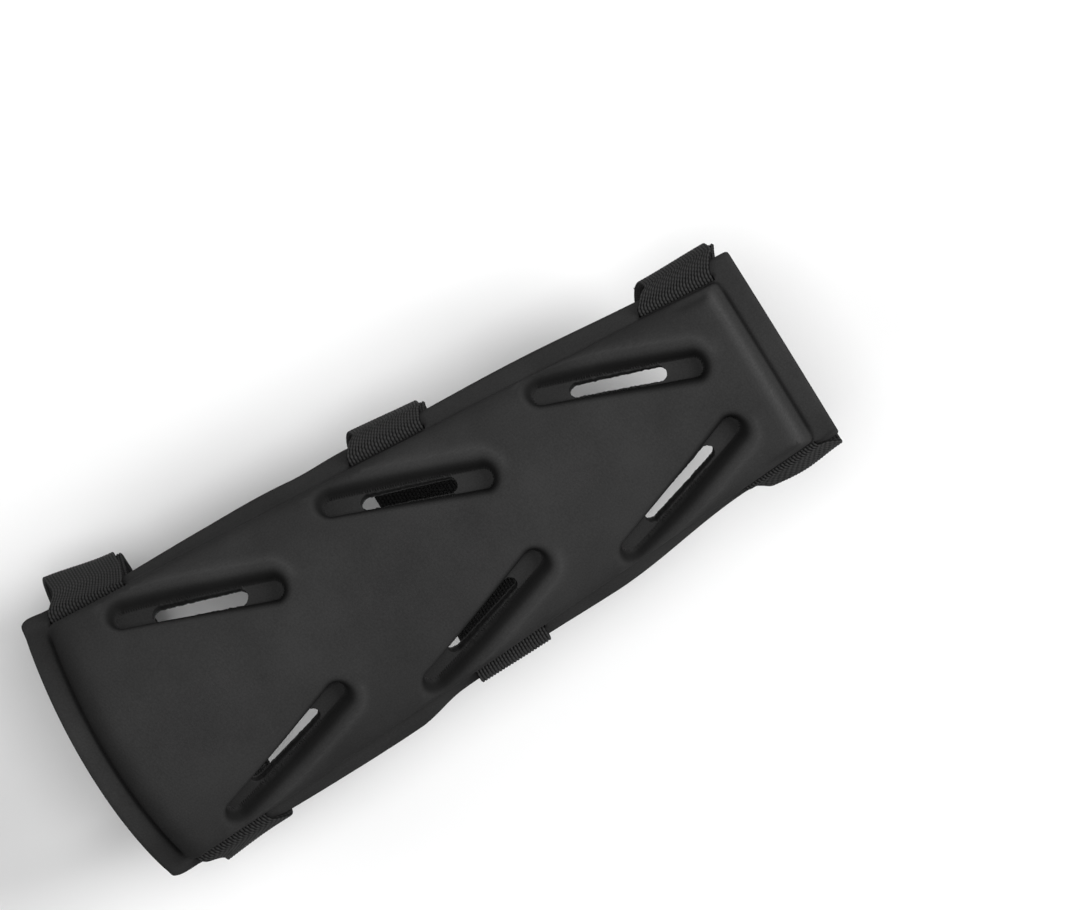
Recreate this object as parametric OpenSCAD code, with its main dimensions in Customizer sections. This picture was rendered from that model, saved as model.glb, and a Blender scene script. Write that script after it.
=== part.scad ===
// Forearm guard: a moulded, fabric-covered foam shell with three elastic straps.
// +X runs from the elbow end to the wrist end, +Z points out of the pad's crown.
// The origin is on the shell's cylinder axis, at mid-length. Millimetres.

/* [Shell] */
// Radius of the arm side of the shell
arm_radius = 46; // [44:1:50]
// Length along the arm between the flange corners
shell_length = 240; // [236:1:246]
// How far the elbow end bows out at its middle
elbow_bow = 6.5; // [0:0.5:8]
// Half of the flange's arc width at the elbow end
flange_half_elbow = 54.5; // [53:0.5:56]
// Half of the flange's arc width at the wrist end
flange_half_wrist = 35; // [34:0.5:37]
// Extra half width between the elbow and middle straps
bulge_elbow = 3; // [0:0.5:4]
// Extra half width between the middle and wrist straps
bulge_wrist = 1; // [0:0.5:2]
// Flange thickness, all layers pressed together
flange_thickness = 3; // [2.6:0.1:3.4]

/* [Pad] */
// Pad thickness, all layers
pad_thickness = 8.5; // [7:0.5:10]
// Position of the pad's elbow border at its corners
pad_elbow_x = -112.7; // [-115:0.1:-112]
// Position of the pad's wrist border
pad_wrist_x = 113; // [112:0.5:114]
// Half of the pad's arc width at the elbow end
pad_half_elbow = 46.5; // [46:0.1:48]
// Half of the pad's arc width at the wrist end
pad_half_wrist = 27.9; // [27:0.1:29]
// Thickness of the lining and of the face fabric
skin = 0.7; // [0.5:0.1:0.9]

/* [Vents] */
// Distance between the three pairs of vents along the arm
vent_pitch = 71.5; // [70:0.5:73]
// Arc distance of the middle vents from the centre line
vent_offset = 21.1; // [20:0.1:22]
// How much that distance drops from one pair to the next
vent_offset_step = 3.5; // [3:0.1:4]
// Angle of a vent to the arm's direction
vent_angle = 19.4; // [15:0.1:22]
// Length of the through slot
slot_length = 30; // [28:1:32]
// Width of the through slot
slot_width = 5.6; // [4:0.1:6]
// Length of the moulded groove around a slot
groove_length = 54.5; // [52:0.5:56]
// Width of the moulded groove
groove_width = 8; // [7:0.5:9]

/* [Straps] */
// Width of the webbing
strap_width = 25; // [20:1:25]
// Thickness of the webbing
strap_thickness = 1.2; // [1:0.1:1.3]
// Thickness of the hook patch and of the loop patch
patch_thickness = 0.7; // [0.5:0.1:0.8]
// Height of a stitch row above the webbing
stitch_height = 0.3; // [0.2:0.1:0.4]
// How far the elbow and wrist tabs sit towards the wrist
tab_skew = 7.5; // [0:0.5:7.5]
// Middle of the elbow strap
elbow_strap_x = -101; // [-102:0.5:-100]
// Middle of the middle strap
middle_strap_x = 1.5; // [0:0.5:3]
// Middle of the wrist strap
wrist_strap_x = 100; // [99:0.5:101]

/* [Hidden] */

$fn = 96;
far = 200;              // longer than the guard in any direction
fit_gap = 0.35;         // room between the webbing and the shell
peel_gap = 0.3;         // room between the hooks and the loops
sewn_gap = 0.1;         // room between a strap and what is sewn to it
edge_steps = 24;        // straight pieces in a long curved edge
flange_radius = arm_radius + flange_thickness;
pad_radius = arm_radius + pad_thickness;
lining_radius = arm_radius + skin;
groove_floor = flange_radius + 0.3;
elbow_x = -shell_length / 2;
wrist_x = shell_length / 2;

// Straps: middle x, slit angle, flange edge angle, then the loop round the back
// as an ellipse (centre y, centre z, half width, half height), and the tab's shift along X.
slit_width = strap_thickness + 2 * fit_gap;
elbow_row = [elbow_strap_x, slit_angle(elbow_strap_x), edge_angle(elbow_strap_x),
             2.5, 10, 47, 43, tab_skew];
middle_row = [middle_strap_x, slit_angle(middle_strap_x), edge_angle(middle_strap_x),
              3, 20, 39.5, 35, 0];
wrist_row = [wrist_strap_x, slit_angle(wrist_strap_x), edge_angle(wrist_strap_x),
             3.2, 27, 35.3, 26, tab_skew];
rows = [elbow_row, middle_row, wrist_row];

// Offsets outward from the ellipse, in the order in which the layers lie.
loop_base = strap_thickness + sewn_gap;
hook_base = loop_base + patch_thickness + peel_gap;
tab_base = hook_base + patch_thickness;
tab_top = tab_base + strap_thickness;

// Half widths of the flange and pad, as arc lengths on the arm side.
function ramp(x, a, b) = a + (b - a) * (x - elbow_x) / shell_length;
function bump(x, a, b) = x < a || x > b ? 0 : (1 - cos(360 * (x - a) / (b - a))) / 2;
function flange_half(x) = ramp(x, flange_half_elbow, flange_half_wrist)
    + bulge_elbow * bump(x, elbow_strap_x, middle_strap_x)
    + bulge_wrist * bump(x, middle_strap_x, wrist_strap_x);
function pad_half(x) = ramp(x, pad_half_elbow, pad_half_wrist);
function arc_angle(s) = s / arm_radius * 180 / PI;
// Both angles are taken at the strap's elbow side, where the shell is wider.
function edge_angle(x) = arc_angle(flange_half(x - strap_width / 2));
function slit_angle(x) = arc_angle(pad_half(x - strap_width / 2) + 0.3 + slit_width / 2);

// Points in the Y-Z plane.
function polar(r, angle) = [r * sin(angle), r * cos(angle)];
function loop_point(row, phi, out) = [row[3] + (row[5] + out) * sin(phi), row[4] - (row[6] + out) * cos(phi)];
function reversed(p) = [for (i = [len(p) - 1:-1:0]) p[i]];
function unit(v) = v / norm(v);
function turned(v) = [-v[1], v[0]];

// Mitred offset of a path's point i by distance d to its left.
function shifted(p, i, d) =
    let (a = turned(unit(p[max(i, 1)] - p[max(i, 1) - 1])),
         b = turned(unit(p[min(i, len(p) - 2) + 1] - p[min(i, len(p) - 2)])),
         m = unit(a + b))
    p[i] + m * d / (m * a);
function shifted_path(p, d) = [for (i = [0:len(p) - 1]) shifted(p, i, d)];

// A strip of webbing seen end on, of thickness t around the path.
module strip(path, t) {
    polygon(concat(shifted_path(path, t / 2), reversed(shifted_path(path, -t / 2))));
}

// The same strip, width w across and centred on x.
module webbing(x, w) {
    translate([x, 0, 0]) rotate([90, 0, 90]) linear_extrude(w, center = true) children();
}

// ---- Shell layers ----

module tube(inner, outer) {
    rotate([0, 90, 0]) difference() {
        cylinder(h = 2 * far, r = outer, center = true);
        cylinder(h = 3 * far, r = inner, center = true);
    }
}

// Everything inside one long edge whose half width is half_at(x) less inset.
module inside_edge(half_at, inset) {
    middle = arc_angle(half_at(0));
    edge = [for (i = [0:edge_steps])
        let (x = elbow_x - 10 + (shell_length + 20) * i / edge_steps)
        [x, flange_radius * sin(arc_angle(half_at(x) - inset) - middle)]];
    rotate([-middle, 0, 0]) linear_extrude(2 * far, center = true)
        polygon(concat(edge, [[far, -far], [-far, -far]]));
}

// Everything between the two ends; the elbow end is bowed.
module between_ends(x0, x1) {
    reach = arm_radius + 10;
    bowed = [for (i = [-edge_steps / 2:edge_steps / 2])
        let (y = 2 * reach * i / edge_steps) [x0 - elbow_bow * (1 - pow(y / reach, 2)), y]];
    linear_extrude(2 * far, center = true)
        polygon(concat(bowed, [[x1, reach], [x1, -reach]]));
}

module outlined(half_at, x0, x1, inset, inner, outer) {
    intersection() {
        tube(inner, outer);
        between_ends(x0 + inset, x1 - inset);
        inside_edge(half_at, inset);
        mirror([0, 1, 0]) inside_edge(half_at, inset);
        translate([0, 0, far]) cube(2 * far, center = true);
    }
}

module flange_shape(inner, outer) {
    outlined(function (x) flange_half(x), elbow_x, wrist_x, 0, inner, outer);
}

module pad_shape(inset, inner, outer) {
    outlined(function (x) pad_half(x), pad_elbow_x, pad_wrist_x, inset, inner, outer);
}

module stadium(length, width) {
    square([length - width, width], center = true);
    for (side = [-1, 1]) translate([side * (length - width) / 2, 0]) circle(d = width);
}

// Six upright stadium prisms, in three pairs that close towards the wrist.
module vents(length, width, floor_radius) {
    for (pair = [-1:1], side = [-1, 1]) {
        angle = arc_angle(vent_offset - vent_offset_step * pair);
        translate([vent_pitch * pair, 0, 0]) rotate([-side * angle, 0, 0])
            translate([0, 0, floor_radius]) rotate([0, 0, -side * vent_angle])
                linear_extrude(far) stadium(length, width);
    }
}

module slots() {
    vents(slot_length, slot_width, arm_radius - 5);
}

// The slits go through the flange only, and leave the pad's wall whole.
module slits() {
    depth = flange_thickness + 2;
    for (row = rows, side = [-1, 1])
        translate([row[0], 0, 0]) rotate([-side * row[1], 0, 0])
            translate([0, 0, flange_radius + fit_gap - depth / 2])
                cube([strap_width + 2 * fit_gap, slit_width, depth], center = true);
}

module backing_lining() {
    color("#2b2b2d") difference() {
        flange_shape(arm_radius, lining_radius);
        slots();
        slits();
    }
}

// The thick part of the foam, with room for the cover in its grooves.
module foam_pad() {
    difference() {
        pad_shape(skin, lining_radius, pad_radius - skin);
        vents(groove_length + 2 * skin, groove_width + 2 * skin, groove_floor - skin);
    }
}

module foam_core() {
    color("#3a3a3c") difference() {
        union() {
            flange_shape(lining_radius, flange_radius - skin);
            foam_pad();
        }
        slots();
        slits();
    }
}

module face_cover() {
    color("#1d1d1f") difference() {
        union() {
            flange_shape(flange_radius - skin, flange_radius);
            pad_shape(0, flange_radius - skin, pad_radius);
        }
        vents(groove_length, groove_width, groove_floor);
        foam_pad();
        slots();
        slits();
    }
}

// ---- Straps ----

over = flange_radius + fit_gap + strap_thickness / 2;
under = arm_radius - fit_gap - strap_thickness / 2;
bend = 0.9;             // size of the turn at each face of a slit

// Webbing through a slit, from below the flange to above it and out to the edge.
// The angles are positive on both sides; side is 1 at +Y and -1 at -Y.
function through_slit(row, side) =
    let (turn = bend / arm_radius * 180 / PI)
    concat([for (i = [0:3]) polar(under, side * (row[2] + (row[1] + turn - row[2]) * i / 3))],
           [polar(under + bend, side * row[1]), polar(over - bend, side * row[1])],
           [for (i = [0:3]) polar(over, side * (row[1] + turn + (row[2] - row[1] - turn) * i / 3))]);

// The loop's angles are multiples of this step, so that its layers meet face to face.
loop_step = 4;
function loop_path(row, from, to, out) =
    [for (phi = [from:(to > from ? loop_step : -loop_step):to]) loop_point(row, phi, out)];

// A band between two offsets from the loop, seen end on.
module band(row, from, to, low, high) {
    polygon(concat(loop_path(row, from, to, low), reversed(loop_path(row, from, to, high))));
}

// One strap, as one path: a tail inside the loop, under the +Y flange and up through its
// slit, over the flange, round the back, under the -Y flange and up through that slit.
module strap(row) {
    middle = strap_thickness / 2;
    path = concat(loop_path(row, 52, 80, -middle - sewn_gap), through_slit(row, 1),
                  loop_path(row, 88, -76, middle), through_slit(row, -1));
    color("#333336") webbing(row[0], strap_width) strip(path, strap_thickness);
}

// A layer w wide between two offsets from the loop.
module layer(row, from, to, low, high, w) {
    webbing(row[0], w) band(row, from, to, low, high);
}

module loop_patch(row) {
    color("#262628") layer(row, -72, -16, loop_base, loop_base + patch_thickness, strap_width - 3);
}

module hook_patch(row) {
    color("#202022") translate([row[7], 0, 0]) layer(row, -64, -24, hook_base, tab_base, strap_width - 3);
}

// The free end of the strap, from the fold at the flange edge to its tip.
module tab(row) {
    fold = row[2] + arc_angle(fit_gap);
    inner = concat([polar(over - strap_thickness / 2, -fold)], loop_path(row, -88, -20, tab_base));
    outer = concat([polar(over + strap_thickness / 2, -fold)], loop_path(row, -88, -20, tab_top));
    color("#333336") webbing(row[0] + row[7], strap_width) polygon(concat(inner, reversed(outer)));
}

// Rows of thread that stand on the webbing's outer face: two across and two along.
module stitch_frame(row, from, to, base) {
    thread = 0.8;
    reach = strap_width / 2 - 3;
    top = base + stitch_height;
    color("#0f0f10") {
        for (phi = [from, to - loop_step]) layer(row, phi, phi + loop_step, base, top, 2 * reach);
        for (side = [-1, 1]) translate([side * (reach - thread / 2), 0, 0])
            layer(row, from, to, base, top, thread);
    }
}

module anchor_stitching(row) {
    stitch_frame(row, 56, 72, loop_base);
}

module tab_stitching(row) {
    translate([row[7], 0, 0]) stitch_frame(row, -64, -24, tab_top);
}

module elbow_strap() { strap(elbow_row); }
module middle_strap() { strap(middle_row); }
module wrist_strap() { strap(wrist_row); }
module elbow_loop_patch() { loop_patch(elbow_row); }
module middle_loop_patch() { loop_patch(middle_row); }
module wrist_loop_patch() { loop_patch(wrist_row); }
module elbow_anchor_stitching() { anchor_stitching(elbow_row); }
module middle_anchor_stitching() { anchor_stitching(middle_row); }
module wrist_anchor_stitching() { anchor_stitching(wrist_row); }
module elbow_tab() { tab(elbow_row); }
module middle_tab() { tab(middle_row); }
module wrist_tab() { tab(wrist_row); }
module elbow_hook_patch() { hook_patch(elbow_row); }
module middle_hook_patch() { hook_patch(middle_row); }
module wrist_hook_patch() { hook_patch(wrist_row); }
module elbow_tab_stitching() { tab_stitching(elbow_row); }
module middle_tab_stitching() { tab_stitching(middle_row); }
module wrist_tab_stitching() { tab_stitching(wrist_row); }

face_cover();
foam_core();
backing_lining();
elbow_strap();
middle_strap();
wrist_strap();
elbow_loop_patch();
middle_loop_patch();
wrist_loop_patch();
elbow_anchor_stitching();
middle_anchor_stitching();
wrist_anchor_stitching();
elbow_tab();
middle_tab();
wrist_tab();
elbow_hook_patch();
middle_hook_patch();
wrist_hook_patch();
elbow_tab_stitching();
middle_tab_stitching();
wrist_tab_stitching();
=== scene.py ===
"""Forearm guard: the looks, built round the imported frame.

Lengths are in millimetres until a mesh is made, and in metres from there on.
Shell pieces are drawn flat, as x along the arm and s across it on the arm side,
then wrapped round the arm with a height above the arm side.
"""

import math

import bpy
import numpy as np
from mathutils import Matrix, Vector
from mathutils.geometry import delaunay_2d_cdt


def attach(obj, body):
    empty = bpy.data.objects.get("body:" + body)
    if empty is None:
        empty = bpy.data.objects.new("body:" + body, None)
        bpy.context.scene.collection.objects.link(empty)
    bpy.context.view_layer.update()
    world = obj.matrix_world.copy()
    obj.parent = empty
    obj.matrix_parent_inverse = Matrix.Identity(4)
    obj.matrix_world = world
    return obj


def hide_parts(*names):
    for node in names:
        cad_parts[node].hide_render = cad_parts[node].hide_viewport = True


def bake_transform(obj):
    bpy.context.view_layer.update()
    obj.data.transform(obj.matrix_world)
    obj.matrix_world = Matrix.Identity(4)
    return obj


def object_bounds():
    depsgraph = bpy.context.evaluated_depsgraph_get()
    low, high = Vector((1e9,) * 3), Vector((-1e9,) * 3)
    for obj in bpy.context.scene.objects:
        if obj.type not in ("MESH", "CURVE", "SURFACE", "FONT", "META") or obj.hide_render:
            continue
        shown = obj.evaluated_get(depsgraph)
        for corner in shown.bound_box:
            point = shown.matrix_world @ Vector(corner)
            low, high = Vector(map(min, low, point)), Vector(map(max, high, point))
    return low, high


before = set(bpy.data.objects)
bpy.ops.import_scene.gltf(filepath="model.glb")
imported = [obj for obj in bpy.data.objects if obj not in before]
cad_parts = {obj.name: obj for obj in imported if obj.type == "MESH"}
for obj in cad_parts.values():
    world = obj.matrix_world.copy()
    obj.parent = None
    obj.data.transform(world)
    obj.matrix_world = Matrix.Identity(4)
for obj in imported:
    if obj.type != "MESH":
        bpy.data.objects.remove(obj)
cad_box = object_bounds()

MM = 0.001
SEED = 11

# Shell
ARM_RADIUS = 46.0
LENGTH = 240.0
ELBOW_X, WRIST_X = -LENGTH / 2, LENGTH / 2 + 0.5
ELBOW_BOW = 6.0
BOW_REACH = ARM_RADIUS + 10
FLANGE_HALF = (54.5, 35.0)          # at the elbow end and at the wrist end
FLANGE_BULGE = (3.0, 1.0)           # between the first two and the last two straps
FLANGE_HEIGHT = 3.0
PAD_HALF = (46.5, 27.9)
PAD_ENDS = (-112.7, 113.0)
PAD_HEIGHT = 8.5
PAD_CROWN = 0.7
SHOULDER = 9.5                      # how far in the pad's edge is rounded
SHOULDER_POWER = 2.4
WRIST_SHOULDER = (1.2, 6.2)         # at the wrist end it rises in a soft step over this stretch
VALLEY_SIDE = 0.05                  # depth of the pressed line along the pad's sides
VALLEY_END = (1.15, 0.8)            # and across its elbow end and its wrist end
VALLEY_REACH = 0.65
CUT_EDGE = (0.55, 0.7)              # drop and reach of the flange's cut edge
CORNERS = {"flange": (4.5, 1.0), "pad": (2.2, 1.5)}   # rounding at the elbow end and at the wrist end
WRIST_STEP_FROM = (20.0, 8.0, 5.0)  # the wrist end's step: how far before it, over what, and off the sides
SIDE_FADE = 6.0                     # what runs across the pad's ends fades this near its sides
UNEVEN = 0.12                       # how much the face rises and falls
SKIN = 0.7
LAYER_GAP = 0.03

# Rows of mesh points: inside the flange's edge, across the pad's border, and across a groove's wall
EDGE_ROWS = (0.35, 0.8, 1.5)
PAD_ROWS = (-1.8, -1.1, -0.6, -0.25, 0, 0.25, 0.6, 1.1, 1.8, 2.6, 3.6, 4.8, 6.2, 7.8, 9.6)
GROOVE_ROWS = (-1.45, -1.0, -0.92, -0.8, -0.6, -0.35, 0, 0.45, 1.0, 1.7, 2.5, 3.5, 4.7)
COVER_SPACING, LINING_SPACING = 1.5, 2.2
CUT_WANDER = 0.07                   # how raggedly the slots are cut

# Vents
VENT_PITCH = 71.5
VENT_OFFSET, VENT_STEP = 21.1, 3.5
VENT_ANGLE = math.radians(19.4)
SLOT_LENGTH, SLOT_WIDTH = 30.0, 4.9
SLOT_TAPER = 0.3                    # how much narrower the slots are from one pair to the next
GROOVE_LENGTH, GROOVE_WIDTH = 54.5, 8.0
GROOVE_FLOOR = 3.3
GROOVE_WALL = 3.8                   # how far the groove's wall spreads
GROOVE_FOOT = 1.0                   # how far inside the groove's outline the wall starts
WALL_POWER = 2.6
WALL_STEEPNESS = 1.6

# Painted shade on the cover, from 0 to 1, and how far it reaches: darker where shade falls in the grooves,
# along the pad's border and round the slits
WALL_SHADE = (0.2, 0.5, 1.9)         # groove walls: starts this far outside the foot, sets in, fades
FLOOR_SHADE = 0.16
ELBOW_SHADE_LINE = (0.7, 0.1, 0.8)        # reach, tone by the pad's sides, and what is added away from them
WRIST_SHADE_LINE = (0.5, 0.95, 4.0)       # reach, tone, and how near the wrist end it must be
SIDE_SHADE_LINE = 0.15                    # share of the tone that is left along the sides
ELBOW_SHADE_FADE = (0.6, 6.5)             # tone inside the elbow end, and its reach
SLIT_SHADE_REACH = 1.5
LEAST_SHADE = 0.02
# Painted highlight on the wrist shoulder and the ridges beside the grooves: strength, middle and reach, and
# over what it sets in
WRIST_HIGHLIGHT = (0.55, 3.8, 1.3)
GROOVE_HIGHLIGHT = (0.3, 3.6, 1.2, 4.0)

# Straps
STRAP_WIDTH = 25.0
STRAP_THICKNESS = 1.2
PATCH_THICKNESS = 0.7
FIT_GAP = 0.35
PEEL_GAP = 0.3
SEWN_GAP = 0.1
SLIT_WIDTH = STRAP_THICKNESS + 2 * FIT_GAP
SLIT_STANDOFF = 0.3                 # from the pad's border to the slit
SLIT_CLOSED = 0.2                   # how far each lip of a slit closes on its strap
TAB_SKEW = 7.5
RIBS = 24
WEFT_PITCH = 1.25                   # along the strap, from one weft thread to the next but one
CORD_SAMPLES = 5                    # mesh columns for each cord
CORD_RELIEF, CORD_ROUNDNESS = 0.24, 0.6
CORD_DEPTH = (0.4, 1.4)             # share of the relief where the strap is flat, and what a sharp bend adds
SELVAGE = (0.5, 0.35)               # how far in the strap's edges thin out, and to what share
SHARP_BEND = 0.25                   # curvature at which the cords stand fully apart, per millimetre
STRAPS = {                          # middle x, then the loop: centre y, z and half width, height
    "elbow": (-101.0, 2.5, 10.0, 47.0, 43.0),
    "middle": (1.5, 3.0, 20.0, 39.5, 35.0),
    "wrist": (100.0, 3.2, 27.0, 35.3, 26.0),
}
# How the worn straps differ from a straight loop, each pair at the elbow side and at the wrist side:
# how far they stand out at +Y and at -Y, and how far the loop leans towards the wrist at +Y
FLARE = {"elbow": (2.2, -0.1), "middle": (0.5, -1.5), "wrist": (-0.2, -1.6)}
BACK_FLARE = {"elbow": (2.2, -1.8), "middle": (0.7, -0.5), "wrist": (1.5, 1.2)}
LOOP_SHIFT = {"elbow": (4.8, 1.8), "middle": (5.2, 2.6), "wrist": (6.0, 4.4)}
# Stretches of a loop, in degrees from its lowest point and growing towards +Y
TAIL_SPAN = (52, 80)                # the sewn tail, inside the strap
FRONT_SPAN, BACK_SPAN = (86, 50), (48, -76)
TAB_SPAN = (-86, -20)
PILE_SPAN, HOOK_SPAN = (-72, -16), (-64, -24)
ANCHOR_SPAN = (56, 72)
FOLD_ANGLE = -88                    # the webbing heads for this angle from the flange's edge
FOLD_REACH = (-1.2, 2.5)            # a stretch across the fold; its end points are worked out in make_strap but not used
PATCH_MARGIN, STITCH_MARGIN = 1.5, 3.0
STITCH_LENGTH, STITCH_GAP, THREAD_RADIUS = 2.4, 0.5, 0.26
TAIL_SHIFT = 1.3                    # how far the sewn tail sticks out from under the loop
LOOP_BASE = STRAP_THICKNESS + SEWN_GAP
HOOK_BASE = LOOP_BASE + PATCH_THICKNESS + PEEL_GAP
TAB_BASE = HOOK_BASE + PATCH_THICKNESS
TAB_TOP = TAB_BASE + STRAP_THICKNESS

# How far the flange and the straps beside it lean in, on each side, at places along the arm
LEAN = {
    1: ((-124, -1.6), (-112, -0.6), (-88, 1.9), (-60, 1.9), (-30, 1.3), (-9, -0.4), (20, 0.1), (90, 0.6),
        (120, -0.8)),
    -1: ((-120, -0.6), (-75, -1.2), (-34, -1.2), (-17, 0.9), (14, 0.4), (38, 0.4), (86, 3.2), (106, 1.2),
         (120, 2.2)),
}
LEAN_DROP = 0.45                    # how far it drops towards the arm for each millimetre in
LEAN_ARC = (5.0, 55.0, 60.0)        # it grows over the first, and fades from the second over the third
WRIST_SKEW = 0.013                  # how much the wrist end slants, for each millimetre across


# ---- Outlines, drawn flat ----

def eased(t):
    t = np.clip(t, 0, 1)
    return t * t * (3 - 2 * t)


def through(x, knots):
    """A smooth line through (x, value) pairs."""
    xs, values = (np.array(k) for k in zip(*knots))
    i = np.clip(np.searchsorted(xs, x) - 1, 0, len(xs) - 2)
    share = eased((x - xs[i]) / (xs[i + 1] - xs[i]))
    return values[i] + (values[i + 1] - values[i]) * share


def ramp(x, ends):
    return ends[0] + (ends[1] - ends[0]) * (x - ELBOW_X) / LENGTH


def bump(x, a, b):
    inside = (x > a) & (x < b)
    return np.where(inside, (1 - np.cos(2 * math.pi * (x - a) / (b - a))) / 2, 0)


def flange_half(x):
    elbow, middle, wrist = (STRAPS[k][0] for k in ("elbow", "middle", "wrist"))
    return (ramp(x, FLANGE_HALF) + FLANGE_BULGE[0] * bump(x, elbow, middle)
            + FLANGE_BULGE[1] * bump(x, middle, wrist))


def pad_half(x):
    return ramp(x, PAD_HALF)


def slit_arc(x):
    return pad_half(x) + SLIT_STANDOFF + SLIT_WIDTH / 2


def bowed(x_end, s):
    y = (ARM_RADIUS + FLANGE_HEIGHT) * np.sin(s / ARM_RADIUS)
    return x_end - ELBOW_BOW * (1 - (y / BOW_REACH) ** 2)


def even(points, step, closed=False):
    """The same line with points a step apart."""
    p = np.asarray(points, float)
    if closed:
        p = np.vstack([p, p[:1]])
    along = np.concatenate([[0], np.cumsum(np.linalg.norm(np.diff(p, axis=0), axis=1))])
    count = max(2, int(round(along[-1] / step)) + 1)
    at = np.linspace(0, along[-1], count)
    out = np.column_stack([np.interp(at, along, p[:, k]) for k in range(p.shape[1])])
    return out[:-1] if closed else out


def rounded(side_a, side_b, radius):
    """Joins two sides that meet at a corner with a curve that starts radius before it."""
    a, b = even(side_a, 0.3), even(side_b, 0.3)
    keep_a = np.linalg.norm(a - a[-1], axis=1) >= radius
    keep_b = np.linalg.norm(b - b[0], axis=1) >= radius
    start, corner, end = a[keep_a][-1], a[-1], b[keep_b][0]
    t = np.linspace(0, 1, 9)[1:-1, None]
    curve = (1 - t) ** 2 * start + 2 * t * (1 - t) * corner + t ** 2 * end
    return a[keep_a], curve, b[keep_b]


def outline(half, x_elbow, x_wrist, inset, elbow_round, wrist_round, step):
    """A closed outline: the -Y edge, the wrist end, the +Y edge and the bowed elbow end."""
    x_elbow, x_wrist = x_elbow + inset, x_wrist - inset
    s_wrist = float(half(np.array(x_wrist))) - inset
    s_elbow = float(half(np.array(x_elbow))) - inset
    x_corner = float(bowed(x_elbow, np.array(s_elbow)))
    xs = np.linspace(x_corner, x_wrist, 240)
    low = np.column_stack([xs, -(half(xs) - inset)])
    high = low[::-1] * [1, -1]
    ss = np.linspace(-s_wrist, s_wrist, 60)
    wrist = np.column_stack([np.full_like(ss, x_wrist), ss])
    se = np.linspace(high[-1][1], low[0][1], 120)
    elbow = np.column_stack([bowed(x_elbow, se), se])
    sides = [low, wrist, high, elbow]
    rounds = [wrist_round, wrist_round, elbow_round, elbow_round]
    parts = []
    for i, r in enumerate(rounds):
        a, curve, b = rounded(sides[i], sides[(i + 1) % 4], max(0.6, r - inset))
        sides[i], sides[(i + 1) % 4] = a, b
        parts.append(curve)
    loop = np.vstack([q for i in range(4) for q in (sides[i], parts[i])])
    return even(loop, step, closed=True)


def flange_outline(inset=0.0, step=1.0):
    return outline(flange_half, ELBOW_X, WRIST_X, inset, *CORNERS["flange"], step)


def pad_outline(inset=0.0, step=1.0):
    return outline(pad_half, *PAD_ENDS, inset, *CORNERS["pad"], step)


def vents():
    """(centre, unit direction) of each of the six vents."""
    out = []
    for pair in (-1, 0, 1):
        for side in (-1, 1):
            s = side * (VENT_OFFSET - VENT_STEP * pair)
            direction = np.array([math.cos(VENT_ANGLE), -side * math.sin(VENT_ANGLE)])
            out.append((np.array([VENT_PITCH * pair, s]), direction))
    return out


def slit_loops(step):
    """The outline of each strap slit, which follows the pad's border."""
    loops = []
    for x0, *_ in STRAPS.values():
        for side in (-1, 1):
            xs = x0 + np.array([-1, 1]) * (STRAP_WIDTH / 2 + FIT_GAP)
            near = np.column_stack([xs, side * (slit_arc(xs) - SLIT_WIDTH / 2 + SLIT_CLOSED)])
            away = np.column_stack([xs, side * (slit_arc(xs) + SLIT_WIDTH / 2 - SLIT_CLOSED)])[::-1]
            loops.append(even(np.vstack([near, away]), step, closed=True))
    return loops


def stadium_loop(centre, direction, length, radius, step):
    across = np.array([-direction[1], direction[0]])
    reach = length / 2 - radius
    pts = []
    for end, start in ((1, -math.pi / 2), (-1, math.pi / 2)):
        for a in np.linspace(start, start + math.pi, 25):
            along = direction * (end * reach + radius * math.cos(a))
            pts.append(centre + along + across * radius * math.sin(a))
    return even(pts, step, closed=True)


def stadium_distance(p, centre, direction, length, width):
    """Distance from the edge of a stadium, negative inside it."""
    rel = p - centre
    along = np.clip(rel @ direction, -(length - width) / 2, (length - width) / 2)
    return np.linalg.norm(rel - along[:, None] * direction, axis=1) - width / 2


def polygon_distance(p, loop):
    """Distance inside a closed outline, negative outside it."""
    a, b = loop, np.roll(loop, -1, axis=0)
    best = np.full(len(p), np.inf)
    crossings = np.zeros(len(p), int)
    for (ax, ay), (bx, by) in zip(a, b):
        d = np.array([bx - ax, by - ay])
        t = np.clip(((p - [ax, ay]) @ d) / (d @ d), 0, 1)
        best = np.minimum(best, np.linalg.norm(p - [ax, ay] - t[:, None] * d, axis=1))
        spans = (ay > p[:, 1]) != (by > p[:, 1])
        if spans.any():
            crossings += spans & (p[:, 0] < (bx - ax) * (p[:, 1] - ay) / (by - ay + 1e-12) + ax)
    return np.where(crossings % 2 == 1, best, -best)


# ---- Heights above the arm side ----

def rise(t, power, steepness=1.0):
    """From 0 to 1, steepest at the start."""
    return (1 - (1 - np.clip(t, 0, 1)) ** power) ** (1 / steepness)


def groove_distance(p):
    return np.min([stadium_distance(p, c, d, GROOVE_LENGTH, GROOVE_WIDTH) for c, d in vents()], axis=0)


# A dip in the heights; the cover's attribute of the same name holds painted shade
def pressed(distance, depth, reach):
    return depth * np.exp(-(distance / reach) ** 2)


def away_from_sides(p):
    return eased((pad_half(p[:, 0]) - np.abs(p[:, 1])) / SIDE_FADE)


def painted_highlights(p):
    """Painted highlight on the wrist shoulder and on the ridges beside the grooves, from 0 to 1."""
    strength, middle, reach = WRIST_HIGHLIGHT
    best = strength * np.exp(-((PAD_ENDS[1] - p[:, 0] - middle) / reach) ** 2) * away_from_sides(p)
    strength, middle, reach, onset = GROOVE_HIGHLIGHT
    for c, d in vents():
        side = np.sign(c[1])
        outward = (p - c) @ [-d[1] * side, d[0] * side]
        strip = np.exp(-((stadium_distance(p, c, d, GROOVE_LENGTH, GROOVE_WIDTH) - middle) / reach) ** 2)
        best = np.maximum(best, strength * strip * eased(outward / onset))
    return best


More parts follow.
